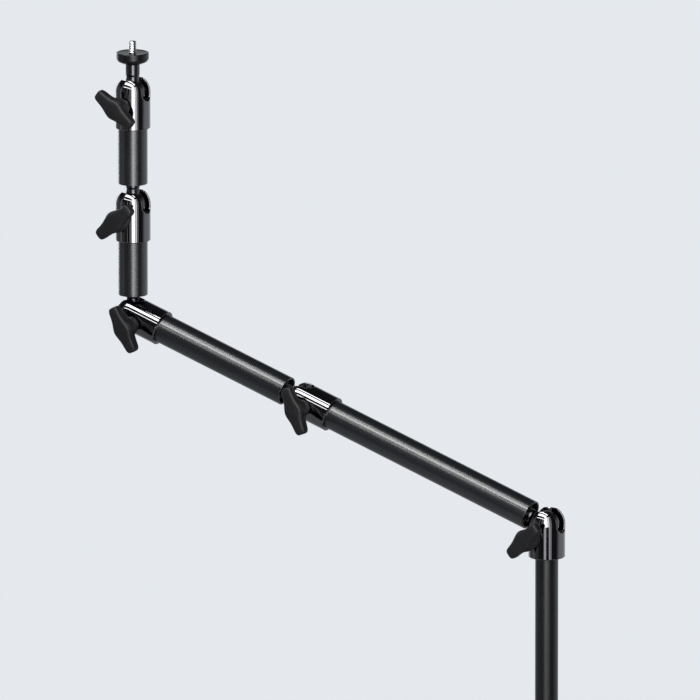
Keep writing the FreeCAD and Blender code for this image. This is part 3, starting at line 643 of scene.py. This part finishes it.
def make_floor():
    """A pale floor disc that fades into the backdrop's own colour, and is dimmer in mirrors."""
    work = bmesh.new()
    bmesh.ops.create_circle(work, cap_ends=True, radius=FLOOR_RADIUS, segments=128)
    mesh = finished(work, "floor")
    obj = add_object("floor", mesh, Matrix.Translation((0, 0, -FLOOR_DROP)))
    n = Nodes("floor")
    n.shader.inputs["Base Color"].default_value = (*FLOOR_COLOUR, 1)
    n.shader.inputs["Roughness"].default_value = 0.8
    n.shader.inputs["Specular IOR Level"].default_value = 0.1
    length = n.add("ShaderNodeVectorMath", operation="LENGTH")
    n.link(n.add("ShaderNodeTexCoord").outputs["Object"], length.inputs[0])
    fade = n.remap(length.outputs["Value"], 0.0, 1.0, *FLOOR_FADES)
    in_mirror = n.add("ShaderNodeLightPath").outputs["Is Glossy Ray"]
    mirrored = n.remap(in_mirror, 0.0, FLOOR_MIRRORED, 0.0, 1.0)
    clear = n.add("ShaderNodeBsdfTransparent")
    mix = n.add("ShaderNodeMixShader")
    n.link(n.combine("MAXIMUM", fade, mirrored), mix.inputs[0])
    n.link(n.shader.outputs[0], mix.inputs[1])
    n.link(clear.outputs[0], mix.inputs[2])
    n.link(mix.outputs[0], n.tree.nodes["Material Output"].inputs["Surface"])
    mesh.materials.append(n.material)


def make_world():
    """A studio round the stand: a pale backdrop to look at, and a darker room to reflect."""
    world = bpy.data.worlds.new("studio")
    bpy.context.scene.world = world
    world.use_nodes = True
    tree = world.node_tree
    tree.nodes.clear()
    link = tree.links.new

    def add(kind, **values):
        node = tree.nodes.new(kind)
        for key, value in values.items():
            setattr(node, key, value)
        return node

    def ramp(value, start, full, low, high):
        node = add("ShaderNodeMapRange", interpolation_type="SMOOTHSTEP")
        for socket, number in zip(("From Min", "From Max", "To Min", "To Max"),
                                  (start, full, low, high)):
            node.inputs[socket].default_value = number
        link(value, node.inputs["Value"])
        return node.outputs["Result"]

    def combine(operation, a, b):
        node = add("ShaderNodeMath", operation=operation)
        link(a, node.inputs[0])
        link(b, node.inputs[1])
        return node.outputs[0]

    way = add("ShaderNodeTexCoord").outputs["Generated"]
    walls = []
    for azimuth, start, full, glow in ROOM_WALLS:
        dot = add("ShaderNodeVectorMath", operation="DOT_PRODUCT")
        dot.inputs[1].default_value = way_to(azimuth)
        link(way, dot.inputs[0])
        walls.append(ramp(dot.outputs["Value"], start, full, 0.0, glow))
    split = add("ShaderNodeSeparateXYZ")
    link(way, split.inputs[0])
    band = combine("MULTIPLY", ramp(split.outputs["Z"], *WALL_TOP, 1.0, 0.0),
                   ramp(split.outputs["Z"], *WALL_FOOT, 0.0, 1.0))
    total = add("ShaderNodeMath", operation="ADD")
    total.inputs[1].default_value = ROOM_DARK
    link(combine("MULTIPLY", combine("ADD", *walls), band), total.inputs[0])
    room = add("ShaderNodeBackground")
    room.inputs["Color"].default_value = (*ROOM_COLOUR, 1)
    link(total.outputs[0], room.inputs["Strength"])
    seen = add("ShaderNodeBackground")
    seen.inputs["Color"].default_value = (*PALE, 1)
    mix = add("ShaderNodeMixShader")
    link(add("ShaderNodeLightPath").outputs["Is Camera Ray"], mix.inputs[0])
    link(room.outputs[0], mix.inputs[1])
    link(seen.outputs[0], mix.inputs[2])
    link(mix.outputs[0], add("ShaderNodeOutputWorld").inputs["Surface"])


# ------------------------------------------------------------------ lights

PANEL_AWAY, PANEL_TOP = 1.9, 2.65
PANEL_FOOT = 0.33             # where the panels' bright part starts above the floor
NEAR_FLOOR = 0.02
# upright panels: name, azimuth, half the width in degrees, radiance, lower and upper end
PANELS = (
    ("key", 34.0, 11.0, 9.6, PANEL_FOOT, PANEL_TOP),
    ("key_side", 14.0, 6.0, 0.8, PANEL_FOOT, PANEL_TOP),
    ("strip", 51.5, 2.5, 8.0, PANEL_FOOT, PANEL_TOP),
    ("far_strip", 62.0, 4.0, 1.2, NEAR_FLOOR, PANEL_TOP),
    ("key_foot", 30.0, 6.5, 2.2, NEAR_FLOOR, PANEL_FOOT),
    ("strip_foot", 55.0, 3.0, 2.2, NEAR_FLOOR, PANEL_FOOT),
    ("thin_line", -6.0, 0.8, 2.0, PANEL_FOOT, PANEL_TOP),
    ("left_line", -53.0, 3.0, 0.7, NEAR_FLOOR, PANEL_TOP),
    ("back_strip", 242.0, 3.5, 4.0, 0.3, 2.4),
)
BAR_AWAY, BAR_LENGTH, BAR_AZIMUTH = 2.2, 2.2, -15.0
# bars over the arm: name, elevation, half the width in degrees, radiance
BARS = (
    ("upper_bar", 74.0, 2.5, 13.0),
    ("middle_bar", 58.0, 6.0, 16.0),
    ("lower_bar", 38.0, 2.0, 10.0),
)


def softbox(name, spot, aim, size, glow):
    """A rectangular softbox at spot that faces aim. glow is its radiance."""
    data = bpy.data.lights.new(name, "AREA")
    data.shape = "RECTANGLE"
    data.size, data.size_y = size
    data.energy = glow * math.pi * size[0] * size[1]
    obj = bpy.data.objects.new(name, data)
    bpy.context.scene.collection.objects.link(obj)
    obj.visible_camera = False
    obj.location = spot
    obj.rotation_mode = "QUATERNION"
    obj.rotation_quaternion = (aim - spot).to_track_quat("-Z", "Y")


def width_at(distance, half):
    """The width that spans half degrees to each side at a distance."""
    return 2 * distance * math.tan(math.radians(half))


def make_lights():
    """Tall upright panels, which the upright tubes mirror, and three bars over the arm."""
    for name, azimuth, half, glow, low, high in PANELS:
        middle = Vector((BALL[2].x, 0, (low + high) / 2))
        softbox(name, middle + way_to(azimuth) * PANEL_AWAY, middle,
                (width_at(PANEL_AWAY, half), high - low), glow)
    arm = (BALL[3] + BALL[5]) / 2
    for name, elevation, half, glow in BARS:
        softbox(name, arm + way_to(BAR_AZIMUTH, elevation) * BAR_AWAY, arm,
                (BAR_LENGTH, width_at(BAR_AWAY, half)), glow)


make_camera()
make_lights()
make_world()
make_floor()
for number in NUMBERS:
    make_ball_joint(number)
make_knobs()
make_tubes()
make_head()
make_stand()
bpy.context.scene.view_settings.view_transform = "Standard"
